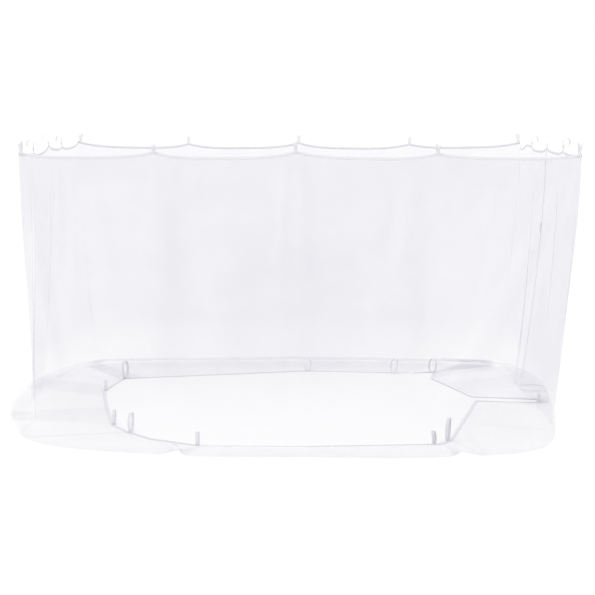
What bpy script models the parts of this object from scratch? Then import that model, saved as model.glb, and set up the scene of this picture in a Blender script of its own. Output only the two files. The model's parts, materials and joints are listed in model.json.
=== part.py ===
"""Gazebo mosquito net, open at the top, hanging by sixteen tape loops and pooling on the floor.

Metres, +Z up, the floor at z = 0 and the front at -Y. One sheet of netting runs round the
gazebo: down from a scalloped top edge, out into a soft roll on the floor, and back in under
itself to a taped hem. "Along" is the distance round the top edge, from the front left corner
to the right, which counts LENGTH, DEPTH, LENGTH and DEPTH for the four sides.
"""

import bmesh
import bpy
import numpy as np

# Driving dimensions
LENGTH = 4.0  # between the corner loops, along X
DEPTH = 3.0  # between the corner loops, along Y
HANG_HEIGHT = 2.1  # floor to the foot of a hanging loop
CENTRE_X, CENTRE_Y = 0.092, -0.048  # sets the middle of the pooled cloth on the origin
GAP = 0.0003  # between pieces that are sewn together, and off each end of a length of top tape

SHEET = 0.0015  # netting
TAPE = 0.0012  # binding tape and loop tape
TAPE_WIDTH = 0.020
HEM_WIDTH = 0.024
LOOP_WIDTH = 0.025
LOOP_LAP = 0.018  # how far a loop's two ends are sewn down over the top tape
LOOP_CLEAR = 0.0006  # a loop's flat foot to the slightly bent top tape
LEG_GAP = 0.0005  # between the two layers of a folded tape

KNEE = 0.11  # height at which the wall starts to turn out over the floor
LEAN_POWER = 1.7  # how late the wall leaves its top line for its foot line
SCALLOP_POWER = 3.4  # how steeply the top edge drops beside a loop
FOLDS_FROM = 0.2  # share of the drop over which the wall's folds grow to their full depth
HEM_INSET = 0.001  # the hem tape's edge to the netting's
MITRE_MOST = 1.6  # longest mitre of the hem tape, in tape widths

ZIP_ALONG = LENGTH + DEPTH / 2
ZIP_WIDTH = 0.03
ZIP_COLUMNS = (-0.06, -0.03, -0.015, 0.0, 0.015, 0.03, 0.06)  # places across it, from its middle
ZIP = 0.0016
SLIDER_HEIGHT = 1.48
SLIDER_WIDTH = 0.009
SLIDER_CLEAR = 0.0008
SLIDER_PROFILE = (
    # inward from its back, up
    (0.0, 0.010),
    (0.003, 0.010),
    (0.005, 0.005),
    (0.005, 0.001),
    (0.0065, -0.001),
    (0.0065, -0.068),
    (0.0045, -0.068),
    (0.0045, -0.008),
    (0.003, -0.010),
    (0.0, -0.010),
)

PERIMETER = 2 * (LENGTH + DEPTH)
CORNERS = (0.0, LENGTH, LENGTH + DEPTH, 2 * LENGTH + DEPTH)
CORNER_INSET = 0.018  # a corner loop's middle to its corner
OUTWARD = {"front": (0, -1), "right": (1, 0), "back": (0, 1), "left": (-1, 0)}  # from each corner on

# Where the top edge hangs: the loop's place, its height over HANG_HEIGHT, how far the edge
# sags before the next loop and the part of that span at which it is lowest, then the loop's
# own eye radius, stem length and turn about its stem in degrees.
HANG_POINTS = (
    # name, side it faces, along, x, y, up, sag, lowest, eye, stem, turn
    ("front_1", "front", 0.00, -1.95, -1.50, 0.000, 0.034, 0.50, 0.022, 0.030, 0),
    ("front_2", "front", 1.00, -1.00, -1.50, 0.008, 0.042, 0.48, 0.020, 0.016, 4),
    ("front_3", "front", 2.00, 0.00, -1.50, 0.012, 0.038, 0.52, 0.023, 0.030, -3),
    ("front_4", "front", 3.00, 1.00, -1.50, 0.002, 0.028, 0.50, 0.021, 0.022, 5),
    ("right_1", "front", 4.00, 2.01, -1.50, -0.004, 0.016, 0.50, 0.023, 0.032, 0),
    ("right_2", "right", 4.75, 2.00, -0.75, 0.000, 0.024, 0.46, 0.028, 0.030, 12),
    ("right_3", "right", 5.50, 2.00, 0.00, 0.004, 0.034, 0.52, 0.031, 0.024, -8),
    ("right_4", "right", 6.25, 1.99, 0.75, -0.004, 0.054, 0.86, 0.028, 0.020, 10),
    ("back_1", "back", 7.00, 2.00, 1.50, 0.012, 0.037, 0.50, 0.022, 0.024, 0),
    ("back_2", "back", 8.00, 1.00, 1.50, -0.008, 0.043, 0.52, 0.020, 0.020, -5),
    ("back_3", "back", 9.00, 0.00, 1.50, 0.002, 0.041, 0.50, 0.021, 0.024, 3),
    ("back_4", "back", 10.00, -1.00, 1.50, -0.010, 0.041, 0.49, 0.022, 0.022, 6),
    ("left_1", "back", 11.00, -2.00, 1.50, 0.006, 0.032, 0.44, 0.022, 0.020, 0),
    ("left_2", "left", 11.75, -2.02, 0.75, -0.018, 0.026, 0.50, 0.026, 0.026, -10),
    ("left_3", "left", 12.50, -2.00, 0.00, 0.010, 0.030, 0.55, 0.026, 0.022, 7),
    ("left_4", "left", 13.25, -1.98, -0.75, -0.028, 0.012, 0.50, 0.027, 0.034, -6),
)

# The plan of the cloth on the floor, one row under each hanging loop: where the wall's foot
# comes down, where the roll's outer fold lies, and how high the roll stands.
FLOOR_PLAN = (
    # along, foot x, foot y, fold x, fold y, roll
    (0.00, -1.84, -1.36, -1.89, -1.46, 0.045),
    (1.00, -1.00, -1.58, -0.86, -1.85, 0.036),
    (2.00, 0.00, -1.61, 0.05, -1.89, 0.034),
    (3.00, 1.00, -1.58, 1.08, -1.87, 0.040),
    (4.00, 1.81, -1.38, 1.81, -1.52, 0.045),
    (4.75, 1.91, -0.68, 2.015, -0.64, 0.050),
    (5.50, 1.84, 0.08, 2.085, 0.10, 0.095),
    (6.25, 1.88, 0.80, 2.15, 0.84, 0.060),
    (7.00, 1.78, 1.42, 1.93, 1.70, 0.055),
    (8.00, 0.98, 1.58, 0.95, 1.96, 0.050),
    (9.00, 0.00, 1.59, 0.02, 1.99, 0.056),
    (10.00, -0.98, 1.57, -0.92, 1.93, 0.052),
    (11.00, -1.84, 1.42, -1.98, 1.70, 0.050),
    (11.75, -2.06, 0.75, -2.31, 0.80, 0.048),
    (12.50, -2.11, 0.02, -2.32, 0.02, 0.046),
    (13.25, -2.03, -0.74, -2.19, -0.76, 0.044),
)

# Where the front's floor roll is drawn back to the hem, as a share of the way to it.
PINCHES = (
    # along, reach before it, reach after it, pull
    (1.03, 0.06, 0.05, 0.62),
    (3.12, 0.06, 0.09, 0.30),
)

# The taped hem, which runs straight from one sewn strap to the next and goes out to the
# foot of the zip in a narrow notch.
HEM_LINE = (
    # along, x, y
    (0.00, -1.24, -1.11),
    (0.45, -1.05, -1.33),
    (1.00, -0.69, -1.53),
    (2.00, 0.10, -1.54),
    (3.00, 1.05, -1.45),
    (3.33, 1.13, -1.34),
    (4.00, 1.22, -0.96),
    (4.75, 1.35, -0.42),
    (5.44, 1.48, 0.13),
    (5.485, 2.01, 0.06),
    (5.515, 2.01, 0.18),
    (5.56, 1.46, 0.27),
    (6.25, 1.34, 0.66),
    (7.00, 1.19, 1.10),
    (7.17, 1.24, 1.43),
    (7.50, 1.06, 1.37),
    (8.00, 0.89, 1.37),
    (9.00, 0.09, 1.46),
    (10.00, -0.55, 1.29),
    (11.00, -1.55, 1.04),
    (11.75, -1.64, 0.47),
    (12.50, -1.54, -0.13),
    (13.25, -1.39, -0.86),
)

# Soft folds of the wall, each a ridge (depth > 0, outwards) or a trough that runs from a
# place on the top edge to one at the foot.
WALL_FOLDS = (
    # along at the top, along at the foot, half width, depth
    (0.30, 0.55, 0.16, 0.022),
    (0.85, 0.70, 0.14, -0.020),
    (1.05, 1.20, 0.12, 0.024),
    (1.60, 1.72, 0.20, -0.016),
    (1.97, 2.02, 0.10, 0.030),
    (2.40, 2.30, 0.16, -0.018),
    (2.95, 2.66, 0.13, 0.026),
    (3.30, 3.35, 0.17, -0.022),
    (3.70, 3.55, 0.12, 0.020),
    (4.30, 4.35, 0.12, 0.026),
    (4.72, 4.86, 0.10, -0.024),
    (5.10, 5.16, 0.12, 0.022),
    (5.92, 5.80, 0.12, -0.026),
    (6.26, 6.14, 0.10, 0.024),
    (6.70, 6.66, 0.12, -0.020),
    (7.20, 7.62, 0.15, 0.034),
    (7.90, 8.25, 0.12, -0.024),
    (8.16, 8.40, 0.11, 0.026),
    (9.02, 8.96, 0.12, 0.028),
    (9.55, 9.50, 0.20, -0.018),
    (10.02, 10.15, 0.12, 0.024),
    (10.60, 10.55, 0.16, -0.022),
    (11.25, 11.10, 0.12, 0.028),
    (11.75, 11.66, 0.11, -0.022),
    (12.10, 12.16, 0.11, 0.026),
    (12.62, 12.52, 0.12, -0.024),
    (13.10, 12.96, 0.11, 0.028),
    (13.62, 13.60, 0.11, -0.022),
)

# The sheet from the knee to the fold: how far out it is between foot and fold, what is left
# of the drop from the knee, and its share of the roll's height.
ROLL_PROFILE = (
    # outward, knee, roll
    (0.12, 0.36, 1.00),
    (0.36, 0.08, 1.00),
    (0.68, 0.00, 1.00),
    (0.91, 0.00, 0.86),
    (1.00, 0.00, 0.42),
)
UNDER_START = 0.93  # where the lower layer leaves the fold, between foot and fold
WALL_ROWS = (0.13, 0.29, 0.46, 0.63, 0.80, 0.92, 1.00)  # shares of the drop to the knee

# Loops of tape that stand up from the hem: place, the way the loop faces in degrees (0 is
# open towards -Y), height, width of its eye, and how far its top leans along its own plane.
HEM_STRAPS = (
    # name, x, y, facing, height, eye, lean
    ("front_left", -1.23, -1.12, 60, 0.150, 0.050, 0.008),
    ("front_2", -0.70, -1.525, 76, 0.100, 0.022, -0.004),
    ("front_4_tall", 1.115, -1.36, 62, 0.170, 0.044, 0.022),
    ("front_4_short", 1.01, -1.45, 58, 0.100, 0.026, -0.020),
    ("back_left", -1.54, 1.045, 58, 0.165, 0.070, -0.006),
    ("left_2", -1.64, 0.47, 84, 0.100, 0.020, 0.000),
    ("left_4", -1.39, -0.86, 78, 0.115, 0.032, 0.008),
    ("back_3", 0.09, 1.455, 28, 0.110, 0.058, 0.006),
    ("back_2", 0.87, 1.37, -34, 0.140, 0.066, 0.022),
    ("back_right", 1.23, 1.42, -38, 0.130, 0.078, 0.014),
    ("zip_foot", 2.005, 0.12, 80, 0.060, 0.022, 0.000),
)

TAPE_GREY = (0.86, 0.86, 0.89)
NET_WHITE = (0.93, 0.93, 0.95)
SLIDER_GREY = (0.55, 0.55, 0.58)


def clear_scene():
    for obj in list(bpy.data.objects):
        bpy.data.objects.remove(obj, do_unlink=True)


def material(name, color, roughness, metallic=0.0):
    made = bpy.data.materials.new(name)
    made.use_nodes = True
    shader = made.node_tree.nodes["Principled BSDF"]
    shader.inputs["Base Color"].default_value = (*color, 1.0)
    shader.inputs["Roughness"].default_value = roughness
    shader.inputs["Metallic"].default_value = metallic
    return made


def add_object(name, points, triangles, color, roughness):
    """A closed mesh as an object of its own, with its own material."""
    mesh = bpy.data.meshes.new(name)
    mesh.from_pydata([tuple(p) for p in points], [], [tuple(t) for t in triangles])
    mesh.update()
    mesh.shade_smooth()
    obj = bpy.data.objects.new(name, mesh)
    obj.data.materials.append(material(name, color, roughness))
    bpy.context.scene.collection.objects.link(obj)
    return obj


def columns(table):
    """A table's number columns as arrays."""
    rows = [[value for value in row if not isinstance(value, str)] for row in table]
    return np.array(rows, float).T


def round_the_net(at, along, values):
    """A smooth closed curve through values at along: cubic pieces whose slope at each row is
    that of the line between its two neighbours."""
    along = np.concatenate([along[-2:] - PERIMETER, along, along[:2] + PERIMETER])
    values = np.concatenate([values[-2:], values, values[:2]])
    slope = np.gradient(values, along)
    k = np.searchsorted(along, at, side="right") - 1
    step = along[k + 1] - along[k]
    t = (at - along[k]) / step
    rise = values[k + 1] - values[k]
    bend = t * (1 - t) * ((slope[k] * step - rise) * (1 - t) - (slope[k + 1] * step - rise) * t)
    return values[k] + rise * t + bend


def straight_round(at, along, values):
    """The same curve in straight runs from row to row."""
    return np.interp(at, np.append(along, PERIMETER), np.append(values, values[0]))


def stations():
    """Places round the net: close together beside each loop, and at the zip's edges."""
    along = columns(HANG_POINTS)[0]
    ends = np.append(along[1:], PERIMETER)
    shares = np.array([0.0, 0.05, 0.17, 0.33, 0.50, 0.67, 0.83, 0.95])
    places = (along[:, None] + (ends - along)[:, None] * shares).ravel()
    zip_places = ZIP_ALONG + np.array(ZIP_COLUMNS)
    apart = np.abs(places - ZIP_ALONG) > ZIP_COLUMNS[-1] + 0.01
    return np.sort(np.concatenate([places[apart], zip_places]))


def top_edge(at):
    """The top edge: straight in plan from loop to loop, and hanging in a scallop between
    them whose drop is 1 - |2f - 1| ** SCALLOP_POWER of the sag, f being the share of the
    span, bent so that f = 0.5 falls on the span's lowest place."""
    along, x, y, up, sag, lowest = columns(HANG_POINTS)[:6]
    k = np.searchsorted(along, at, side="right") - 1
    ends = np.append(along[1:], PERIMETER)
    share = (at - along[k]) / (ends[k] - along[k])
    bent = share ** (np.log(0.5) / np.log(lowest[k]))
    drop = sag[k] * (1 - np.abs(2 * bent - 1) ** SCALLOP_POWER)
    height = HANG_HEIGHT + straight_round(at, along, up) - drop
    place_x = straight_round(at, along, x)
    place_y = straight_round(at, along, y)
    return np.stack([place_x, place_y, height], axis=-1)


def ring_step(values):
    """Difference between each point's next and last neighbour round a closed ring."""
    return np.roll(values, -1, axis=0) - np.roll(values, 1, axis=0)


def mitre_normals(plan):
    """Outward normals of a closed plan polygon that runs anticlockwise, as long at each
    corner as keeps both of its sides at distance 1."""
    step = np.roll(plan, -1, axis=0) - plan
    step /= np.linalg.norm(step, axis=1, keepdims=True)
    after = np.stack([step[:, 1], -step[:, 0]], axis=1)
    before = np.roll(after, 1, axis=0)
    both = before + after
    normals = np.zeros((len(plan), 3))
    normals[:, :2] = both / (1 + (before * after).sum(axis=1, keepdims=True))
    return normals


def fold_depth(at, drop):
    """Sum of the wall's folds: a bell curve across each one, fading in under the tape."""
    top, foot, half_width, depth = columns(WALL_FOLDS)
    centre = top + (foot - top) * drop
    away = (at[:, None] - centre + PERIMETER / 2) % PERIMETER - PERIMETER / 2
    bells = depth * np.exp(-((away / half_width) ** 2))
    return bells.sum(axis=1) * min(1.0, drop / FOLDS_FROM)


def drawn_in(at):
    """Share of the way back to the hem that the roll's outer fold is drawn in, along Y."""
    share = np.zeros(len(at))
    for along, before, after, pull in PINCHES:
        away = at - along
        reach = np.where(away < 0, before, after)
        share += pull * np.exp(-((away / reach) ** 2))
    return share


def netting_grid(at):
    """Middle of the sheet, as rows from the top edge to the hem of points round the net, and
    the outward normal at each."""
    rim = top_edge(at)
    along, *plan = columns(FLOOR_PLAN)
    foot_x, foot_y, fold_x, fold_y, roll = [round_the_net(at, along, c) for c in plan]
    foot = np.stack([foot_x, foot_y], axis=-1)
    fold = np.stack([fold_x, fold_y], axis=-1)
    hem_along, hem_x, hem_y = columns(HEM_LINE)
    hem_x = straight_round(at, hem_along, hem_x)
    hem_y = straight_round(at, hem_along, hem_y)
    hem = np.stack([hem_x, hem_y], axis=-1)
    fold[:, 1] += (hem_y - fold_y) * drawn_in(at)

    taped = rim - [0, 0, TAPE_WIDTH]
    rows = [rim, taped]
    for drop in WALL_ROWS:
        line = rim[:, :2] + (foot - rim[:, :2]) * drop**LEAN_POWER
        across = ring_step(line)
        across /= np.linalg.norm(across, axis=1, keepdims=True)
        out = np.stack([across[:, 1], -across[:, 0]], axis=-1)
        line = line + out * fold_depth(at, drop)[:, None]
        height = taped[:, 2] + (KNEE - taped[:, 2]) * drop
        rows.append(np.column_stack([line, height]))
    knee = rows[-1][:, :2]
    for outward, knee_share, roll_share in ROLL_PROFILE:
        height = roll * roll_share + (KNEE - roll) * knee_share
        rows.append(np.column_stack([knee + (fold - knee) * outward, height]))
    under = knee + (fold - knee) * UNDER_START
    for inward in (0.0, 0.5, 1.0):
        line = under + (hem - under) * inward
        rows.append(np.column_stack([line, np.full(len(at), SHEET / 2)]))
    grid = np.array(rows)
    grid[:, :, :2] += (CENTRE_X, CENTRE_Y)

    down = np.gradient(grid, axis=0)
    round_net = np.roll(grid, -1, axis=1) - np.roll(grid, 1, axis=1)
    normals = np.cross(down, round_net)
    normals /= np.linalg.norm(normals, axis=2, keepdims=True)
    normals[:2] = mitre_normals(grid[0, :, :2])
    normals[-3:] = (0, 0, -1)
    return grid, normals


def sheet_faces(rows, cols, closed):
    """Triangles of a sheet whose outer and inner surfaces are rows x cols points each, the
    outer first: both surfaces are cut along the same diagonals, and its edges are closed."""
    index = np.arange(2 * rows * cols).reshape(2, rows, cols)
    if closed:
        index = np.concatenate([index, index[:, :, :1]], axis=2)
    outer, inner = index

    def quads(a, b, c, d):
        corners = [np.ravel(side) for side in (a, b, c, d)]
        first = np.stack([corners[0], corners[1], corners[2]], axis=1)
        second = np.stack([corners[0], corners[2], corners[3]], axis=1)
        return [first, second]

    faces = quads(outer[:-1, :-1], outer[1:, :-1], outer[1:, 1:], outer[:-1, 1:])
    inside = quads(inner[:-1, :-1], inner[1:, :-1], inner[1:, 1:], inner[:-1, 1:])
    faces += [triangles[:, ::-1] for triangles in inside]
    faces += quads(inner[0, :-1], outer[0, :-1], outer[0, 1:], inner[0, 1:])
    faces += quads(outer[-1, :-1], inner[-1, :-1], inner[-1, 1:], outer[-1, 1:])
    if not closed:
        faces += quads(inner[:-1, 0], inner[1:, 0], outer[1:, 0], outer[:-1, 0])
        faces += quads(outer[:-1, -1], outer[1:, -1], inner[1:, -1], inner[:-1, -1])
    return np.concatenate(faces)


def add_sheet(name, middle, normals, outside, thickness, color, closed=True):
    """A sheet along a grid: its outer surface is outside from the grid's middle, and its
    inner one a thickness further in."""
    rows, cols = middle.shape[:2]
    outer = middle + normals * outside
    inner = middle + normals * (outside - thickness)
    points = np.concatenate([outer.reshape(-1, 3), inner.reshape(-1, 3)])
    return add_object(name, points, sheet_faces(rows, cols, closed), color, 0.9)


def add_tape_loop(name, path, width, place, out, color, turn=0.0, turned_above=0.0):
    """A flat tape bent along a path in an upright plane: path holds (out, up) pairs from
    place, out is the plane's level direction, and the tape's width lies across it. From its
    foot to turned_above the plane swings by turn degrees about the upright through place."""
    path = np.asarray(path, float)
    share = np.clip(path[:, 1] / turned_above, 0, 1) if turned_above else np.zeros(len(path))
    angle = np.arctan2(out[1], out[0]) + np.radians(turn) * share
    outward = np.column_stack([np.cos(angle), np.sin(angle), np.zeros(len(path))])
    across = np.column_stack([-outward[:, 1], outward[:, 0], outward[:, 2]])
    step = np.gradient(path, axis=0)
    step /= np.linalg.norm(step, axis=1, keepdims=True)
    bend = np.stack([-step[:, 1], step[:, 0]], axis=1)
    surfaces = []
    for side in (0.5, -0.5):
        line = path + bend * side * TAPE
        centre = place + line[:, :1] * outward + line[:, 1:] * (0, 0, 1)
        edges = [centre - across * width / 2, centre + across * width / 2]
        surfaces.append(np.stack(edges, axis=1).reshape(-1, 3))
    faces = sheet_faces(len(path), 2, closed=False)
    return add_object(name, np.concatenate(surfaces), faces, color, 0.85)


def hanging_loops(out_of_tape):
    """A loop at each hanging point: one tape, both ends sewn to the outside of the top tape,
    that rises as a stem and opens outwards into a round eye for the rail."""
    apart = TAPE + LEG_GAP
    for name, faces, along, x, y, up, _, _, eye, stem, turn in HANG_POINTS:
        out = OUTWARD[faces]
        inset = -np.sign(x) * CORNER_INSET if along in CORNERS else 0.0
        angles = np.radians(np.linspace(180, -130, 11))
        across = eye + eye * np.cos(angles)
        ring = np.column_stack([across, stem + eye * (1.1 + np.sin(angles))])
        legs_up = [(0.0, -LOOP_LAP), (0.0, stem * 0.5)]
        legs_down = [(apart, stem * 0.5), (apart, -LOOP_LAP)]
        path = legs_up + [tuple(point) for point in ring] + legs_down
        place = np.array([x + inset + CENTRE_X, y + CENTRE_Y, HANG_HEIGHT + up])
        place[:2] += np.array(out) * out_of_tape
        loop = "hang_loop_" + name
        add_tape_loop(loop, path, LOOP_WIDTH, place, out, TAPE_GREY, turn, stem + eye)


def hem_straps(base):
    """Loops of tape that stand on the hem: an oval whose two ends meet at its foot."""
    for name, x, y, facing, height, eye, lean in HEM_STRAPS:
        angles = np.radians(np.linspace(10, 350, 15))
        rise = (1 - np.cos(angles)) / 2
        sideways = -eye / 2 * np.sin(angles) + lean * rise**2
        path = np.column_stack([sideways, rise * height])
        path[:, 1] -= path[0, 1]
        turn = np.radians(facing)
        place = np.array([x + CENTRE_X, y + CENTRE_Y, base])
        plane = (np.cos(turn), np.sin(turn))
        add_tape_loop("hem_strap_" + name, path[::-1], LOOP_WIDTH, place, plane, TAPE_GREY)


def top_tapes(at, grid, normals):
    """The top tape in four lengths, one a side, whose ends meet under the corner loops."""
    ends = (*CORNERS[1:], PERIMETER)
    for name, start, end in zip(OUTWARD, CORNERS, ends):
        first, last = np.searchsorted(at, [start - 1e-6, end - 1e-6])
        side = np.arange(first, last + 1) % len(at)
        middle = grid[:2, side].copy()
        for tip, neighbour in ((0, 1), (-1, -2)):
            run = middle[:, neighbour] - middle[:, tip]
            middle[:, tip] += run / np.linalg.norm(run, axis=1, keepdims=True) * GAP
        outside = SHEET / 2 + GAP + TAPE
        add_sheet("top_tape_" + name, middle, normals[:2, side], outside, TAPE, TAPE_GREY, False)


def hem_tape(grid):
    """A flat tape along the hem, on top of the cloth's lower layer."""
    edge = grid[-1].copy()
    normals = mitre_normals(edge[:, :2])
    long = np.linalg.norm(normals, axis=1, keepdims=True)
    normals *= np.minimum(1.0, MITRE_MOST / long)
    height = SHEET + GAP
    middle = np.stack([edge + normals * HEM_WIDTH, edge + normals * HEM_INSET])
    middle[:, :, 2] = height
    down = np.zeros_like(middle)
    down[:, :, 2] = -1
    add_sheet("hem_tape", middle, down, 0.0, TAPE, TAPE_GREY)


def zip_pieces(at, grid, normals):
    """The closed zip on the room side of the netting, from the top tape to the floor roll,
    and its slider with a long pull."""
    half = ZIP_WIDTH / 2
    strip = np.abs(at - ZIP_ALONG) < half + 1e-6
    last = 2 + len(WALL_ROWS) + len(ROLL_PROFILE) - 1
    middle = grid[1:last, strip]
    facing = normals[1:last, strip]
    outside = -(SHEET / 2 + GAP)
    add_sheet("zip_tape", middle, facing, outside, ZIP, TAPE_GREY, closed=False)

    line = grid[: 2 + len(WALL_ROWS), np.abs(at - ZIP_ALONG) < 1e-6][:, 0]
    row = np.searchsorted(-line[:, 2], -SLIDER_HEIGHT) - 1
    share = (line[row, 2] - SLIDER_HEIGHT) / (line[row, 2] - line[row + 1, 2])
    place = line[row] + (line[row + 1] - line[row]) * share
    up = line[row] - line[row + 1]
    up /= np.linalg.norm(up)
    across = np.array([0.0, 1.0, 0.0])
    inward = np.cross(across, up)
    inward *= -np.sign(inward[0])
    inward /= np.linalg.norm(inward)
    back = SHEET / 2 + GAP + ZIP + SLIDER_CLEAR
    bm = bmesh.new()
    corners = [place + inward * (back + p[0]) + up * p[1] for p in SLIDER_PROFILE]
    face = bm.faces.new([bm.verts.new(c - across * SLIDER_WIDTH / 2) for c in corners])
    side = bmesh.ops.extrude_face_region(bm, geom=[face])["geom"]
    moved = [v for v in side if isinstance(v, bmesh.types.BMVert)]
    bmesh.ops.translate(bm, verts=moved, vec=across * SLIDER_WIDTH)
    bmesh.ops.recalc_face_normals(bm, faces=bm.faces)
    mesh = bpy.data.meshes.new("zip_slider")
    bm.to_mesh(mesh)
    bm.free()
    slider = bpy.data.objects.new("zip_slider", mesh)
    slider.data.materials.append(material("zip_slider", SLIDER_GREY, 0.4))
    bpy.context.scene.collection.objects.link(slider)


def main():
    clear_scene()
    at = stations()
    grid, normals = netting_grid(at)
    add_sheet("netting", grid, normals, SHEET / 2, SHEET, NET_WHITE)
    top_tapes(at, grid, normals)
    hem_tape(grid)
    zip_pieces(at, grid, normals)
    hanging_loops(SHEET / 2 + GAP + TAPE + LOOP_CLEAR + TAPE / 2)
    hem_straps(SHEET + 2 * GAP + TAPE + TAPE / 2)


main()
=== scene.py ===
"""Looks of the gazebo mosquito net: sheer netting that hangs from sixteen tape loops and
pools on the floor, with its bindings, stitching, hem straps and zip.

Metres, +Z up, the floor at z = 0 and the front at -Y. "Along" is the distance round the top
edge from the front left corner, to the right.
"""

import json

import bpy
import numpy as np
from mathutils import Matrix

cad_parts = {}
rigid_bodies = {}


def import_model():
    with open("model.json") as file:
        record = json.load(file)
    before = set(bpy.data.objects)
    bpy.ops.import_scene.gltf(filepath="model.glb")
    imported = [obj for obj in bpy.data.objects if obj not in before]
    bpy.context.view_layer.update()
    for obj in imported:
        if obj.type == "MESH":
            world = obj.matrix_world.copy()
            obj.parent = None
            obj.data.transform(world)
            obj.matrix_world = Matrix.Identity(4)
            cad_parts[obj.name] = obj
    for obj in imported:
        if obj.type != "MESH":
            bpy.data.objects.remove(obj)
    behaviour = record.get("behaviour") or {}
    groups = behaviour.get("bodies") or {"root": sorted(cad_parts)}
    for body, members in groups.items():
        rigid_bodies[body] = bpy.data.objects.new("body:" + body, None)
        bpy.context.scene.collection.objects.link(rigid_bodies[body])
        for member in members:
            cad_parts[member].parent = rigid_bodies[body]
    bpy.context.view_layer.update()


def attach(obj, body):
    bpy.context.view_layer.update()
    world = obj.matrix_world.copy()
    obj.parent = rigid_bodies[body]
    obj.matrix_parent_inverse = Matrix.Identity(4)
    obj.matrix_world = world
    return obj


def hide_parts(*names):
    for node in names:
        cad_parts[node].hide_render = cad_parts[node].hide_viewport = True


# The net's sizes, as in its solids
LENGTH = 4.0
DEPTH = 3.0
HANG_HEIGHT = 2.1
CENTRE = np.array([0.092, -0.048, 0.0])
GAP = 0.0003
SHEET = 0.0015
TAPE = 0.0012
TAPE_WIDTH = 0.02
HEM_WIDTH = 0.024
HEM_INSET = 0.001
HEM_TAPE = 0.0006  # the hem's tape as woven, which the solid has at TAPE
LOOP_WIDTH = 0.025
LOOP_LAP = 0.018
LOOP_CLEAR = 0.0006
OUT_OF_TAPE = SHEET / 2 + GAP + TAPE + LOOP_CLEAR + TAPE / 2  # to a loop's middle
LEG_GAP = 0.0005
KNEE = 0.11
LEAN_POWER = 1.7
SCALLOP_POWER = 3.4
FOLDS_FROM = 0.2
MITRE_MOST = 1.6
ZIP_ALONG = LENGTH + DEPTH / 2
ZIP_WIDTH = 0.03
ZIP = 0.0016
SLIDER_HEIGHT = 1.48
SLIDER_CLEAR = 0.0008
PERIMETER = 2 * (LENGTH + DEPTH)
CORNERS = (0.0, LENGTH, LENGTH + DEPTH, 2 * LENGTH + DEPTH)
CORNER_INSET = 0.018
OUTWARD = {"front": (0, -1), "right": (1, 0), "back": (0, 1), "left": (-1, 0)}

HANG_POINTS = (
    # name, side it faces, along, x, y, up, sag, lowest, eye, stem, turn
    ("front_1", "front", 0.0, -1.95, -1.5, 0.0, 0.034, 0.5, 0.022, 0.03, 0),
    ("front_2", "front", 1.0, -1.0, -1.5, 0.008, 0.042, 0.48, 0.02, 0.016, 4),
    ("front_3", "front", 2.0, 0.0, -1.5, 0.012, 0.038, 0.52, 0.023, 0.03, -3),
    ("front_4", "front", 3.0, 1.0, -1.5, 0.002, 0.028, 0.5, 0.021, 0.022, 5),
    ("right_1", "front", 4.0, 2.01, -1.5, -0.004, 0.016, 0.5, 0.023, 0.032, 0),
    ("right_2", "right", 4.75, 2.0, -0.75, 0.0, 0.024, 0.46, 0.028, 0.03, 12),
    ("right_3", "right", 5.5, 2.0, 0.0, 0.004, 0.034, 0.52, 0.031, 0.024, -8),
    ("right_4", "right", 6.25, 1.99, 0.75, -0.004, 0.054, 0.86, 0.028, 0.02, 10),
    ("back_1", "back", 7.0, 2.0, 1.5, 0.012, 0.037, 0.5, 0.022, 0.024, 0),
    ("back_2", "back", 8.0, 1.0, 1.5, -0.008, 0.043, 0.52, 0.02, 0.02, -5),
    ("back_3", "back", 9.0, 0.0, 1.5, 0.002, 0.041, 0.5, 0.021, 0.024, 3),
    ("back_4", "back", 10.0, -1.0, 1.5, -0.01, 0.041, 0.49, 0.022, 0.022, 6),
    ("left_1", "back", 11.0, -2.0, 1.5, 0.006, 0.032, 0.44, 0.022, 0.02, 0),
    ("left_2", "left", 11.75, -2.02, 0.75, -0.018, 0.026, 0.5, 0.026, 0.026, -10),
    ("left_3", "left", 12.5, -2.0, 0.0, 0.01, 0.03, 0.55, 0.026, 0.022, 7),
    ("left_4", "left", 13.25, -1.98, -0.75, -0.028, 0.012, 0.5, 0.027, 0.034, -6),
)

FLOOR_PLAN = (
    # along, foot x, foot y, fold x, fold y, roll
    (0.0, -1.84, -1.36, -1.89, -1.46, 0.045),
    (1.0, -1.0, -1.58, -0.86, -1.85, 0.036),
    (2.0, 0.0, -1.61, 0.05, -1.89, 0.034),
    (3.0, 1.0, -1.58, 1.08, -1.87, 0.04),
    (4.0, 1.81, -1.38, 1.81, -1.52, 0.045),
    (4.75, 1.91, -0.68, 2.015, -0.64, 0.05),
    (5.5, 1.84, 0.08, 2.085, 0.1, 0.095),
    (6.25, 1.88, 0.8, 2.15, 0.84, 0.06),
    (7.0, 1.78, 1.42, 1.93, 1.7, 0.055),
    (8.0, 0.98, 1.58, 0.95, 1.96, 0.05),
    (9.0, 0.0, 1.59, 0.02, 1.99, 0.056),
    (10.0, -0.98, 1.57, -0.92, 1.93, 0.052),
    (11.0, -1.84, 1.42, -1.98, 1.7, 0.05),
    (11.75, -2.06, 0.75, -2.31, 0.8, 0.048),
    (12.5, -2.11, 0.02, -2.32, 0.02, 0.046),
    (13.25, -2.03, -0.74, -2.19, -0.76, 0.044),
)

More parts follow.
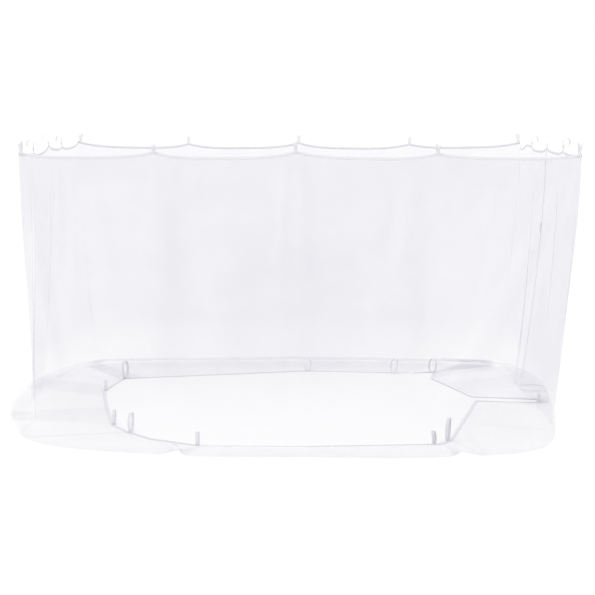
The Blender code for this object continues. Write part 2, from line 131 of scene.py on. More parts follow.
HEM_LINE = (
    # along, x, y
    (0.0, -1.24, -1.11),
    (0.45, -1.05, -1.33),
    (1.0, -0.69, -1.53),
    (2.0, 0.1, -1.54),
    (3.0, 1.05, -1.45),
    (3.33, 1.13, -1.34),
    (4.0, 1.22, -0.96),
    (4.75, 1.35, -0.42),
    (5.44, 1.48, 0.13),
    (5.485, 2.01, 0.06),
    (5.515, 2.01, 0.18),
    (5.56, 1.46, 0.27),
    (6.25, 1.34, 0.66),
    (7.0, 1.19, 1.1),
    (7.17, 1.24, 1.43),
    (7.5, 1.06, 1.37),
    (8.0, 0.89, 1.37),
    (9.0, 0.09, 1.46),
    (10.0, -0.55, 1.29),
    (11.0, -1.55, 1.04),
    (11.75, -1.64, 0.47),
    (12.5, -1.54, -0.13),
    (13.25, -1.39, -0.86),
)

WALL_FOLDS = (
    # along at the top, along at the foot, half width, depth
    (0.3, 0.55, 0.16, 0.022),
    (0.85, 0.7, 0.14, -0.02),
    (1.05, 1.2, 0.12, 0.024),
    (1.6, 1.72, 0.2, -0.016),
    (1.97, 2.02, 0.1, 0.03),
    (2.4, 2.3, 0.16, -0.018),
    (2.95, 2.66, 0.13, 0.026),
    (3.3, 3.35, 0.17, -0.022),
    (3.7, 3.55, 0.12, 0.02),
    (4.3, 4.35, 0.12, 0.026),
    (4.72, 4.86, 0.1, -0.024),
    (5.1, 5.16, 0.12, 0.022),
    (5.92, 5.8, 0.12, -0.026),
    (6.26, 6.14, 0.1, 0.024),
    (6.7, 6.66, 0.12, -0.02),
    (7.2, 7.62, 0.15, 0.034),
    (7.9, 8.25, 0.12, -0.024),
    (8.16, 8.4, 0.11, 0.026),
    (9.02, 8.96, 0.12, 0.028),
    (9.55, 9.5, 0.2, -0.018),
    (10.02, 10.15, 0.12, 0.024),
    (10.6, 10.55, 0.16, -0.022),
    (11.25, 11.1, 0.12, 0.028),
    (11.75, 11.66, 0.11, -0.022),
    (12.1, 12.16, 0.11, 0.026),
    (12.62, 12.52, 0.12, -0.024),
    (13.1, 12.96, 0.11, 0.028),
    (13.62, 13.6, 0.11, -0.022),
)

ROLL_PROFILE = (
    # outward, knee, roll
    (0.12, 0.36, 1.0),
    (0.36, 0.08, 1.0),
    (0.68, 0.0, 1.0),
    (0.91, 0.0, 0.86),
    (1.0, 0.0, 0.42),
)
UNDER_START = 0.93

# Narrow creases of the wall that the solids leave out.
WALL_CREASES = (
    # along at the top, along at the foot, from, to, half width, depth
    (0.05, 0.3, 0.0, 0.85, 0.055, 0.009),
    (0.14, 0.4, 0.02, 0.7, 0.045, -0.007),
    (0.94, 0.62, 0.0, 0.5, 0.045, 0.006),
    (1.03, 1.32, 0.0, 0.58, 0.05, 0.007),
    (1.52, 1.46, 0.3, 1.0, 0.08, 0.005),
    (1.96, 1.8, 0.0, 0.45, 0.045, 0.006),
    (2.04, 2.2, 0.0, 0.6, 0.05, 0.007),
    (2.52, 2.6, 0.25, 0.95, 0.08, -0.005),
    (2.95, 2.4, 0.0, 0.75, 0.055, 0.008),
    (3.04, 3.2, 0.0, 0.5, 0.045, 0.006),
    (3.72, 3.14, 0.06, 0.95, 0.06, 0.011),
    (3.84, 3.34, 0.04, 0.9, 0.05, -0.009),
    (3.92, 3.58, 0.02, 0.8, 0.045, 0.009),
    (4.2, 4.4, 0.0, 0.95, 0.09, 0.006),
    (4.86, 4.98, 0.0, 0.85, 0.08, 0.005),
    (5.72, 5.66, 0.0, 0.95, 0.08, 0.006),
    (6.36, 6.36, 0.05, 1.0, 0.09, 0.006),
    (6.9, 6.8, 0.0, 0.9, 0.07, 0.004),
    (7.08, 7.5, 0.0, 0.9, 0.06, 0.011),
    (7.18, 7.36, 0.05, 0.7, 0.05, -0.008),
    (7.94, 7.7, 0.0, 0.5, 0.05, 0.006),
    (8.06, 8.46, 0.0, 0.75, 0.055, 0.008),
    (8.95, 8.76, 0.0, 0.45, 0.05, 0.006),
    (9.05, 9.2, 0.0, 0.6, 0.05, 0.007),
    (9.94, 9.72, 0.0, 0.55, 0.05, 0.007),
    (10.05, 10.34, 0.0, 0.52, 0.05, 0.006),
    (10.88, 10.6, 0.0, 0.85, 0.06, 0.01),
    (11.14, 11.28, 0.0, 0.9, 0.08, 0.005),
    (11.86, 11.98, 0.0, 0.95, 0.09, 0.006),
    (12.42, 12.3, 0.0, 0.85, 0.08, 0.005),
    (13.36, 13.3, 0.05, 1.0, 0.12, 0.002),
    (13.88, 13.74, 0.0, 0.9, 0.09, 0.0015),
)

# Creases that cross the cloth on the floor, from the wall's foot over the fold.
FLOOR_CREASES = (
    # along at the foot, along at the hem, half width, height on the roll, height beneath
    (0.24, 0.44, 0.07, 0.01, 0.003),
    (0.8, 0.94, 0.055, 0.012, 0.004),
    (1.2, 1.06, 0.07, 0.008, 0.003),
    (1.92, 1.8, 0.08, 0.007, 0.002),
    (2.62, 2.74, 0.07, 0.006, 0.002),
    (3.12, 3.04, 0.05, 0.012, 0.004),
    (3.34, 3.3, 0.05, -0.008, 0.003),
    (3.7, 3.52, 0.08, 0.009, 0.003),
    (4.24, 4.02, 0.07, 0.01, 0.004),
    (4.62, 4.7, 0.08, 0.007, 0.003),
    (5.14, 5.2, 0.06, -0.008, 0.002),
    (5.34, 5.38, 0.04, 0.014, 0.004),
    (5.68, 5.62, 0.04, 0.015, 0.005),
    (5.98, 5.9, 0.06, -0.009, 0.003),
    (6.44, 6.36, 0.08, 0.008, 0.004),
    (6.92, 6.98, 0.06, 0.011, 0.004),
    (7.26, 7.14, 0.06, 0.012, 0.005),
    (7.72, 7.66, 0.07, -0.008, 0.003),
    (8.3, 8.18, 0.08, 0.008, 0.003),
    (9.04, 9.1, 0.07, 0.01, 0.004),
    (9.78, 9.7, 0.09, -0.006, 0.002),
    (10.32, 10.4, 0.07, 0.009, 0.003),
    (10.86, 10.8, 0.06, 0.011, 0.004),
    (11.3, 11.42, 0.07, 0.009, 0.003),
    (12.02, 11.9, 0.08, -0.007, 0.003),
    (12.56, 12.46, 0.07, 0.008, 0.004),
    (13.12, 12.96, 0.06, 0.011, 0.004),
    (13.62, 13.8, 0.06, 0.012, 0.003),
)

# Where the walls hang in fuller or scanter cloth.
FULLNESS = (
    # along at the top, along at the foot, half width, from, to, change
    (0.62, 0.66, 0.4, 0.0, 0.9, -0.26),
    (1.1, 1.14, 0.12, 0.2, 0.85, 0.2),
    (1.4, 1.42, 0.1, 0.1, 0.7, -0.08),
    (1.72, 1.66, 0.14, 0.25, 0.85, 0.22),
    (1.9, 1.84, 0.04, 0.0, 0.45, -0.2),
    (2.06, 2.1, 0.26, 0.22, 0.85, 0.3),
    (2.74, 2.68, 0.05, 0.0, 0.4, -0.22),
    (2.86, 2.86, 0.08, 0.2, 0.75, 0.2),
    (3.24, 3.2, 0.36, 0.1, 0.9, -0.3),
    (3.92, 2.95, 0.06, 0.05, 0.95, -0.22),
    (3.96, 3.2, 0.05, 0.05, 0.9, 0.2),
    (3.98, 3.42, 0.05, 0.02, 0.85, -0.2),
    (0.04, 0.34, 0.06, 0.02, 0.8, 0.16),
    (0.02, 0.2, 0.05, 0.05, 0.9, -0.2),
    (5.5, 5.5, 0.9, 0.0, 0.75, 0.14),
    (12.6, 12.5, 0.8, 0.0, 0.6, 0.1),
    (11.9, 11.8, 0.3, 0.4, 0.9, -0.18),
    (13.7, 13.7, 0.3, 0.2, 1.1, -0.3),
    (13.26, 13.24, 0.26, 0.15, 1.1, -0.55),
    (11.9, 11.9, 0.8, 0.84, 1.1, -0.55),
    (5.95, 5.95, 0.75, 0.84, 1.1, -0.5),
    (9.2, 9.2, 1.6, 0.86, 1.0, 0.1),
)

# Wedges of the floor cloth that lie doubled.
FLOOR_WEDGES = (
    # along at the foot, half width there, along at the hem, half width there, extra
    (9.3, 1.75, 9.2, 1.6, 0.14),
    (13.3, 0.02, 12.84, 0.27, 0.26),
    (11.7, 0.1, 11.76, 0.27, 0.28),
    (13.58, 0.03, 13.96, 0.05, 0.3),
    (7.38, 0.26, 7.23, 0.07, 0.9),
    (10.92, 0.02, 10.94, 0.13, 0.6),
    (5.76, 0.16, 5.53, 0.03, 0.45),
    (5.47, 0.11, 5.5, 0.0, 0.8),
    (6.66, 0.16, 6.35, 0.3, 0.16),
    (3.27, 0.02, 3.32, 0.03, 0.3),
    (4.6, 0.02, 4.36, 0.06, 0.12),
)

# Where the roll's outer fold is drawn in at the front.
PINCHES = (
    # along, reach before it, reach after it, pull
    (1.03, 0.06, 0.05, 0.62),
    (3.12, 0.06, 0.09, 0.3),
)

HEM_STRAPS = (
    # name, x, y, facing, height, eye, lean
    ("front_left", -1.23, -1.12, 60, 0.15, 0.05, 0.008),
    ("front_2", -0.7, -1.525, 76, 0.1, 0.022, -0.004),
    ("front_4_tall", 1.115, -1.36, 62, 0.17, 0.044, 0.022),
    ("front_4_short", 1.01, -1.45, 58, 0.1, 0.026, -0.02),
    ("back_left", -1.54, 1.045, 58, 0.165, 0.07, -0.006),
    ("left_2", -1.64, 0.47, 84, 0.1, 0.02, 0.0),
    ("left_4", -1.39, -0.86, 78, 0.115, 0.032, 0.008),
    ("back_3", 0.09, 1.455, 28, 0.11, 0.058, 0.006),
    ("back_2", 0.87, 1.37, -34, 0.14, 0.066, 0.022),
    ("back_right", 1.23, 1.42, -38, 0.13, 0.078, 0.014),
    ("zip_foot", 2.005, 0.12, 80, 0.06, 0.022, 0.0),
)
# Straps of the sheer tape, which also has a painted glow so they show paler than the rest.
SHEER_PAINTED_GLOW_STRAPS = ("front_left", "front_2", "left_2", "left_4", "back_3", "back_2", "zip_foot")

# How finely the looks follow those shapes
COLUMN = 0.025
FINE_COLUMN = 0.0125
FINE_REACH = 0.075
NEAREST_COLUMN = 0.004
WALL_STEPS = 70
ROLL_STEPS = 22
UNDER_STEPS = 18
FIRST_WALL_ROW = 3
FIRST_ROLL_ROW = FIRST_WALL_ROW + WALL_STEPS
FIRST_UNDER_ROW = FIRST_ROLL_ROW + ROLL_STEPS
ROLL_SHARE = 0.35  # the roll's share of the way from the wall's foot to the hem
CREASED_ROLL = 0.05  # the roll for which its creases' heights are given
CREASES_FROM = 0.02
CREASE_EASE = 0.03
FULLNESS_EASE = 0.12
WEDGE_EDGE = 0.06

# How closely the cloth and its tapes screen what is behind them
PAINTED_LIGHT_FROM = 0.8  # share of the drop from which the wall is painted lighter towards the floor
FLOOR_PAINTED_LIGHT_SCREEN = 0.33  # the cloth on the floor, to the hanging wall, painted lighter as if lit from above
FLOOR_CREASE_SCREEN = 2.0  # how much more a crease's gathered cloth counts there
CREASE_SCREEN = 12.0  # how much more for each metre of a narrow crease's depth
TAPED_SCREEN = 0.15  # the cloth sewn down under the top binding
ZIP_SHEER = 0.55  # the zip's tape down the wall
ZIP_FLOOR_SHEER = 0.15  # the zip's tape on the floor roll
HEM_SHEER = 0.14  # the hem's tape on its front and back runs, to its side runs
NEAR_COLUMNS = 9  # columns to each side that gathered cloth is measured by

# Thread, teeth, mesh and yarn
STITCH_PITCH = 0.006
STITCH_LENGTH = 0.0042
STITCH_RADIUS = 0.00035
SEAM_SHARES = (0.12, 0.88)  # where the top binding's seams run, down its width
TACK_ROWS = (-0.004, -0.014)  # where the loops are sewn down, from the top edge
TOOTH_PITCH = 0.0025
TOOTH_FOOT = (0.0019, 0.0009)  # half its size across and along the zip
TOOTH_TIP = 0.72  # its top's size, to its foot's
TOOTH_HEIGHT = 0.0011
TOOTH_SUNK = 0.0003
TOOTH_APART = 0.0009
MESH_CELL = 0.0024
MESH_TURNS = 7.2552  # 4 pi / sqrt 3, a honeycomb's waves over one cell
FULL_TURN = 6.2832
UNEVEN = 0.08  # how much a plain colour varies in tone
# Each tape's light colour and its dark one, used for uneven yarn and selvedges and as painted
# shade in the weave's low places
BINDING_YARN_AND_SHADE = ((0.79, 0.785, 0.815), (0.7, 0.695, 0.73))
HEM_YARN_AND_SHADE = ((0.7, 0.69, 0.74), (0.58, 0.57, 0.62))
LOOP_YARN_AND_SHADE = ((0.82, 0.82, 0.845), (0.72, 0.72, 0.745))
STRAP_YARN_AND_SHADE = ((0.76, 0.76, 0.79), (0.6, 0.6, 0.63))

UPRIGHT = np.array([0.0, 0.0, 1.0])


# ---- Shapes worked out as whole arrays ----


def columns(table):
    """A table's number columns as arrays."""
    rows = [[value for value in row if not isinstance(value, str)] for row in table]
    return np.array(rows, float).T


def unit(vectors):
    """Each vector divided by its length."""
    return vectors / np.linalg.norm(vectors, axis=-1, keepdims=True)


def run_along(line):
    """Distance along a line to each of its points."""
    return np.concatenate([[0], np.cumsum(np.linalg.norm(np.diff(line, axis=0), axis=1))])


def down_the_cloth(grid):
    """Mean distance down the cloth from its first row to each row."""
    steps = np.linalg.norm(np.diff(grid, axis=0), axis=2).mean(axis=1)
    return np.concatenate([[0], np.cumsum(steps)])


def away_round(at, centre):
    """Signed distance round the net from centre, the short way."""
    return (at - centre + PERIMETER / 2) % PERIMETER - PERIMETER / 2


def bells(at, start, end, share, half_width):
    """Bell curves across places round the net, at a share of their way from start to end."""
    away = away_round(at[:, None], start + (end - start) * share)
    return np.exp(-((away / half_width) ** 2))


def flat_normals(directions):
    """The level directions outwards of directions that run round the net."""
    return np.stack([directions[:, 1], -directions[:, 0]], axis=1)


def smooth_run(at, along, values):
    """Cubic pieces through values at along, whose slope at each is that of the line between
    its two neighbours. Values may hold any number of further axes."""
    slope = np.gradient(values, along, axis=0)
    k = np.clip(np.searchsorted(along, at, side="right") - 1, 0, len(along) - 2)
    step = along[k + 1] - along[k]
    t = (at - along[k]) / step
    shape = (-1,) + (1,) * (values.ndim - 1)
    t, step = t.reshape(shape), step.reshape(shape)
    rise = values[k + 1] - values[k]
    start = slope[k] * step - rise
    end = slope[k + 1] * step - rise
    return values[k] + rise * t + t * (1 - t) * (start * (1 - t) - end * t)


def round_the_net(at, along, values):
    """The same curve, closed round the net."""
    along = np.concatenate([along[-2:] - PERIMETER, along, along[:2] + PERIMETER])
    return smooth_run(at, along, np.concatenate([values[-2:], values, values[:2]]))


def straight_round(at, along, values):
    """Straight runs from row to row, closed round the net."""
    return np.interp(at, np.append(along, PERIMETER), np.append(values, values[0]))


def stations():
    """Places round the net: even, twice as close beside each loop, and at every corner of
    the hem and edge of the zip."""
    coarse = np.arange(0, PERIMETER - 1e-9, COLUMN)
    loops = columns(HANG_POINTS)[0]
    beside = np.arange(-FINE_REACH, FINE_REACH + 1e-9, FINE_COLUMN)
    fine = (loops[:, None] + beside).ravel() % PERIMETER
    zip_edges = ZIP_ALONG + np.array([-0.5, 0.0, 0.5]) * ZIP_WIDTH
    wanted = np.concatenate([columns(HEM_LINE)[0], zip_edges])
    rest = np.unique(np.round(np.concatenate([coarse, fine]), 6))
    near = np.abs(away_round(rest[:, None], wanted)).min(axis=1)
    return np.unique(np.round(np.concatenate([rest[near > NEAREST_COLUMN], wanted]), 6))


def top_edge(at):
    """The top edge: straight in plan from loop to loop, in scallops that drop by
    1 - |2f - 1| ** SCALLOP_POWER of the sag, f being 0.5 at the span's lowest place."""
    along, x, y, up, sag, lowest = columns(HANG_POINTS)[:6]
    k = np.searchsorted(along, at, side="right") - 1
    ends = np.append(along[1:], PERIMETER)
    share = (at - along[k]) / (ends[k] - along[k])
    bent = share ** (np.log(0.5) / np.log(lowest[k]))
    drop = sag[k] * (1 - np.abs(2 * bent - 1) ** SCALLOP_POWER)
    x, y, up = [straight_round(at, along, c) for c in (x, y, up)]
    return np.stack([x, y, HANG_HEIGHT + up - drop], axis=-1)


def ring_step(values):
    """Difference between each point's next and last neighbour round a closed ring."""
    return np.roll(values, -1, axis=0) - np.roll(values, 1, axis=0)


def mitre_normals(plan):
    """Outward normals of a closed plan polygon, as long as keeps its sides at distance 1."""
    step = unit(np.roll(plan, -1, axis=0) - plan)
    after = flat_normals(step)
    before = np.roll(after, 1, axis=0)
    normals = np.zeros((len(plan), 3))
    normals[:, :2] = (before + after) / (1 + (before * after).sum(axis=1, keepdims=True))
    return normals


def fold_depth(at, drop):
    """Sum of the wall's folds, which fade in under the tape, and of its narrow creases."""
    top, foot, half_width, depth = columns(WALL_FOLDS)
    folds = (depth * bells(at, top, foot, drop, half_width)).sum(axis=1)
    return folds * min(1.0, drop / FOLDS_FROM) + crease_depth(at, drop)


def crease_depth(at, drop):
    """Sum of the wall's narrow creases, each a half sine over its stretch of the drop."""
    top, foot, start, end, half_width, depth = columns(WALL_CREASES)
    across = bells(at, top, foot, drop, half_width * (0.7 + 0.8 * drop))
    run = np.clip((drop - start + CREASE_EASE) / (end - start + 2 * CREASE_EASE), 0, 1)
    creases = (depth * np.sin(np.pi * run) * across).sum(axis=1)
    return creases * min(1.0, drop / CREASES_FROM)


def fullness(at, drop):
    """How much more the wall screens where it is fuller, faded in and out down the drop."""
    top, foot, half_width, start, end, change = columns(FULLNESS)
    shown = np.clip((drop - start) / FULLNESS_EASE, 0, 1)
    shown = shown * np.clip((end - drop) / FULLNESS_EASE, 0, 1)
    return (change * shown * bells(at, top, foot, drop, half_width)).sum(axis=1)


def floor_creases(at, share):
    """The creases' (height on the roll, height beneath), at a share of the way from the
    wall's foot to the hem."""
    foot, hem, half_width, on_roll, beneath = columns(FLOOR_CREASES)
    across = bells(at, foot, hem, share, half_width)
    return (on_roll * across).sum(axis=1), (beneath * across).sum(axis=1)


def drawn_in(at):
    """Share of the way back to the hem that the roll's outer fold is drawn in, along Y."""
    along, before, after, pull = columns(PINCHES)
    away = at[:, None] - along
    reach = np.where(away < 0, before, after)
    return (pull * np.exp(-((away / reach) ** 2))).sum(axis=1)


def net_rows(at):
    """The netting's middle as rows from the top edge to the hem. The wall leans out as
    drop ** LEAN_POWER, the roll is cubics through the solid's rows, and creases lift the
    roll and the layer beneath."""
    rim = top_edge(at)
    along, *plan = columns(FLOOR_PLAN)
    *plan, roll = [round_the_net(at, along, c) for c in plan]
    foot, fold = np.stack(plan[:2], axis=-1), np.stack(plan[2:], axis=-1)
    along, *plan = columns(HEM_LINE)
    hem = np.stack([straight_round(at, along, c) for c in plan], axis=-1)
    fold[:, 1] += (hem[:, 1] - fold[:, 1]) * drawn_in(at)

    taped = rim - UPRIGHT * TAPE_WIDTH
    rows = [rim, rim - UPRIGHT * TAPE_WIDTH / 2, taped]
    for drop in np.linspace(0, 1, WALL_STEPS + 1)[1:]:
        line = rim[:, :2] + (foot - rim[:, :2]) * drop**LEAN_POWER
        out = flat_normals(unit(ring_step(line)))
        line = line + out * fold_depth(at, drop)[:, None]
        rows.append(np.column_stack([line, taped[:, 2] + (KNEE - taped[:, 2]) * drop]))

    knee = rows[-1][:, :2]
    knots = [rows[-2], rows[-1]]
    for outward, knee_share, roll_share in ROLL_PROFILE:
        height = roll * roll_share + (KNEE - roll) * knee_share
        knots.append(np.column_stack([knee + (fold - knee) * outward, height]))
    floor = np.full(len(at), SHEET / 2)
    under = knee + (fold - knee) * UNDER_START
    knots.append(np.column_stack([under, floor]))
    knots.append(np.column_stack([under + (hem - under) * 0.2, floor]))
    knots = np.array(knots)
    places = down_the_cloth(knots)
    share = np.linspace(0, 1, ROLL_STEPS + 1)[1:]
    rolled = smooth_run(places[1] + (places[-2] - places[1]) * share, places, knots)
    for step, row in zip(share, rolled):
        on_roll, _ = floor_creases(at, ROLL_SHARE * step)
        lift = on_roll * np.sin(np.pi * min(1.0, step * 1.1)) * roll / CREASED_ROLL
        row[:, 2] = np.maximum(row[:, 2] + lift, SHEET / 2)
        rows.append(row)
    for step in np.linspace(0, 1, UNDER_STEPS + 1)[1:]:
        line = under + (hem - under) * step
        _, beneath = floor_creases(at, ROLL_SHARE + (1 - ROLL_SHARE) * step)
        lift = beneath * np.sin(np.pi * min(1.0, step * 1.08)) ** 0.8
        rows.append(np.column_stack([line, floor + lift]))
    return np.array(rows) + CENTRE


def gathered(at, grid):
    """How much cloth lies in each place, to the columns near by."""
    along = ring_step(at) % PERIMETER
    length = np.linalg.norm(ring_step(grid.transpose(1, 0, 2)), axis=2).T / along
    shifts = range(-NEAR_COLUMNS, NEAR_COLUMNS + 1)
    near = sum(np.roll(length, n, axis=1) for n in shifts) / len(shifts)
    return np.clip(length / near, 0.95, 1.8)


def laid_double(at, share):
    """Extra cloth in the doubled wedges, at a share of the way from the wall's foot to the
    hem: full inside each wedge, with soft edges."""
    foot, foot_half, hem, hem_half, extra = columns(FLOOR_WEDGES)
    away = np.abs(away_round(at[:, None], foot + (hem - foot) * share))
    half = foot_half + (hem_half - foot_half) * share
    inside = np.clip((half - away) / WEDGE_EDGE + 0.5, 0, 1)
    return (extra * inside**2 * (3 - 2 * inside)).sum(axis=1)


# ---- Meshes from arrays ----


def put_in(name, data):
    """A new object in the scene with this data."""
    made = bpy.data.objects.new(name, data)
    bpy.context.scene.collection.objects.link(made)
    return made


def make_piece(name, points, faces, uv=None, smooth=True):
    """A mesh piece at the origin from points, faces and each face corner's (u, v)."""
    mesh = bpy.data.meshes.new(name)
    mesh.from_pydata(points.tolist(), [], faces)
    if uv is not None:
        layer = mesh.uv_layers.new(name="cloth")
        layer.uv.foreach_set("vector", np.asarray(uv, np.float32).ravel())
    mesh.validate()
    mesh.update()
    if smooth:
        mesh.shade_smooth()
    return put_in(name, mesh)


def grid_quads(rows, cols, closed=False):
    """Corner indices of the quads of a grid that closes round, as rows and columns too for
    its UVs; a closed one's last row meets its first."""
    r, c = np.arange(rows if closed else rows - 1), np.arange(cols)
    r, c = [a.ravel() for a in np.meshgrid(r, c, indexing="ij")]
    row = np.stack([r, r + 1, r + 1, r], axis=1)
    col = np.stack([c, c, c + 1, c + 1], axis=1)
    return (row % rows) * cols + col % cols, row, col


def tape_piece(name, centre, across, facing, width, thickness, closed=False):
    """A woven tape along a line, a flat slab with rounded edges in cross-section. UVs are
    metres across and along. Each end is one face unless the line is a closed ring."""
    half, edge = width / 2, thickness / 2
    flat = (-half + edge / 2, -half / 3, half / 3, half - edge / 2)
    upper, lower = [(a, edge) for a in flat], [(a, -edge) for a in flat[::-1]]
    section = np.array([(-half, 0.0), *upper, (half, 0.0), *lower])
    sides = centre[:, None] + across[:, None] * section[:, :1] + facing[:, None] * section[:, 1:]
    rows, cols = sides.shape[:2]
    quads, row, col = grid_quads(rows, cols, closed)
    run = run_along(centre)
    run = np.append(run, run[-1] + np.linalg.norm(centre[0] - centre[-1]))
    a = np.append(section[:, 0], section[0, 0])
    uv = np.stack([a[col], run[row]], axis=-1)
    faces = quads.tolist()
    corners = uv.reshape(-1, 2).tolist()
    if not closed:
        for first, order in ((0, 1), ((rows - 1) * cols, -1)):
            cap = list(range(cols))[::order]
            faces.append([first + index for index in cap])
            corners += [[section[index, 0], 0.0] for index in cap]
    piece = make_piece(name, sides.reshape(-1, 3), faces, corners)
    turn_outwards(piece)
    return piece


def set_closely(piece, closely):
    """Stores how closely a piece screens, at each of its points or of a tape's line."""
    amount = piece.data.attributes.new("closely", "FLOAT", "POINT")
    each = len(piece.data.vertices) // closely.size
    amount.data.foreach_set("value", np.repeat(closely, each).astype(np.float32))


def turn_outwards(piece):
    """Turns every face of a closed mesh round if its volume comes out negative."""
    mesh = piece.data
    mesh.calc_loop_triangles()
    points = np.array([vertex.co[:] for vertex in mesh.vertices])
    triangles = points[[triangle.vertices[:] for triangle in mesh.loop_triangles]]
    triangles = triangles - triangles[0, 0]
    volume = np.einsum("ij,ij->i", triangles[:, 0], np.cross(triangles[:, 1], triangles[:, 2]))
    if volume.sum() < 0:
        mesh.flip_normals()


def copied_faces(faces, copies, points):
    """The faces of a shape of so many points, once for each of its copies."""
    offsets = np.arange(copies) * points
    return (np.array(faces) + offsets[:, None, None]).reshape(-1, len(faces[0])).tolist()


def stitches(name, centres, along, facing):
    """Stitches as short spindles, three rings of four points and two tips, along a seam."""
    side = np.cross(facing, along)
    angles = np.radians([0, 90, 180, 270])
    shares = np.array([-0.3, 0.0, 0.3])
    fatness = np.array([0.8, 1.0, 0.8])
    rings = centres[:, None, None] + along[:, None, None] * (shares * STITCH_LENGTH)[:, None, None]
    for axis, wave in ((side, np.cos(angles)), (facing, np.sin(angles))):
        turned = axis[:, None, None] * (wave * STITCH_RADIUS)[:, None]
        rings = rings + turned * fatness[:, None, None]
    rings = rings.reshape(len(centres), 12, 3)
    tips = centres[:, None] + along[:, None] * (np.array([-0.5, 0.5]) * STITCH_LENGTH)[:, None]
    points = np.concatenate([rings, tips], axis=1)
    after = [1, 2, 3, 0]
    sides = [(r + i, r + after[i], r + 4 + after[i], r + 4 + i) for r in (0, 4) for i in range(4)]
    start = [(12, after[i], i) for i in range(4)]
    end = [(13, 8 + i, 8 + after[i]) for i in range(4)]
    faces = []
    for part in (sides, start, end):
        faces += copied_faces(part, len(centres), points.shape[1])
    return make_piece(name, points.reshape(-1, 3), faces)


def values_along(places, run, vectors):
    """The vectors given at each of run's distances, at other places between them."""
    return np.stack([np.interp(places, run, vectors[:, i]) for i in range(3)], axis=-1)


def spaced_along(line, pitch, closed):
    """Points at an even pitch along a line, and the line's direction at each."""
    ring = np.concatenate([line, line[:1]]) if closed else line
    run = run_along(ring)
    places = np.arange(pitch / 2, run[-1], pitch)
    points = values_along(places, run, ring)
    return points, unit(np.gradient(points, axis=0))


# ---- Finishes ----


def new_group(name, inputs, outputs):
    """A shader node group with sockets of each kind by name; gives it and both its ends."""
    group = bpy.data.node_groups.new(name, "ShaderNodeTree")
    for way, kinds in (("INPUT", inputs), ("OUTPUT", outputs)):
        for kind, labels in kinds.items():
            for label in labels:
                group.interface.new_socket(label, in_out=way, socket_type="NodeSocket" + kind)
    given, made = group.nodes.new("NodeGroupInput"), group.nodes.new("NodeGroupOutput")
    return group, given.outputs, made.inputs


def set_inputs(node, **values):
    """The node with inputs set by name, each space in a name written as _."""
    for label, value in values.items():
        node.inputs[label.replace("_", " ")].default_value = value
    return node


def feed(tree, socket, value):
    """Gives an input its value, which may be another node's output."""
    if isinstance(value, bpy.types.NodeSocket):
        tree.links.new(value, socket)
    else:
        socket.default_value = value


def math_node(tree, operation, *values):
    """A Math node's output socket."""
    node = tree.nodes.new("ShaderNodeMath")
    node.operation = operation
    for socket, value in zip(node.inputs, values):
        feed(tree, socket, value)
    return node.outputs[0]


def range_node(tree, value, low, high, to_low, to_high):
    """A smooth Map Range from low..high to to_low..to_high."""
    node = tree.nodes.new("ShaderNodeMapRange")
    node.interpolation_type = "SMOOTHSTEP"
    labels = ("Value", "From Min", "From Max", "To Min", "To Max")
    for label, given in zip(labels, (value, low, high, to_low, to_high)):
        feed(tree, node.inputs[label], given)
    return node.outputs["Result"]


def mix_node(tree, factor, first, second):
    """A mix of two colours."""
    node = tree.nodes.new("ShaderNodeMix")
    node.data_type = "RGBA"
    for label, given in zip(("Factor", "A", "B"), (factor, first, second)):
        feed(tree, node.inputs[label], given)
    return node.outputs["Result"]


def noise_node(tree, vector, scale):
    """A Noise Texture's value at a vector."""
    node = set_inputs(tree.nodes.new("ShaderNodeTexNoise"), Scale=scale, Detail=3.0)
    tree.links.new(vector, node.inputs["Vector"])
    return node.outputs["Fac"]


def split_node(tree, vector):
    """A vector's X and Y."""
    node = tree.nodes.new("ShaderNodeSeparateXYZ")
    tree.links.new(vector, node.inputs[0])
    return node.outputs["X"], node.outputs["Y"]


def net_mesh_group():
    """Honeycomb netting: the sum of three cosines at 120 degrees peaks in each hole and is
    lowest along the threads. Alpha runs from one's to the other's, times the cloth there."""
    inputs = {"Vector": ["Cloth"], "Float": ["Cell", "Hole Alpha", "Thread Alpha", "Gathered"]}
    group, given, made = new_group("net mesh", inputs, {"Float": ["Alpha", "Thread"]})
    x, y = split_node(group, given["Cloth"])
    waves = None
    turns = math_node(group, "DIVIDE", MESH_TURNS, given["Cell"])
    for x_share, y_share in ((0.0, 1.0), (0.866, -0.5), (-0.866, -0.5)):
        across = math_node(group, "MULTIPLY", x, x_share)
        place = math_node(group, "MULTIPLY_ADD", y, y_share, across)
        wave = math_node(group, "COSINE", math_node(group, "MULTIPLY", place, turns))
        waves = wave if waves is None else math_node(group, "ADD", waves, wave)
    thread = range_node(group, waves, 0.5, -0.9, 0.0, 1.0)
    alpha = range_node(group, thread, 0.0, 1.0, given["Hole Alpha"], given["Thread Alpha"])
    cloud = noise_node(group, given["Cloth"], 3.0)
    uneven = range_node(group, cloud, 0.3, 0.7, 0.93, 1.07)
    alpha = math_node(group, "MULTIPLY", alpha, uneven)
    alpha = math_node(group, "MULTIPLY", alpha, given["Gathered"])
    group.links.new(alpha, made["Alpha"])
    group.links.new(thread, made["Thread"])
    return group


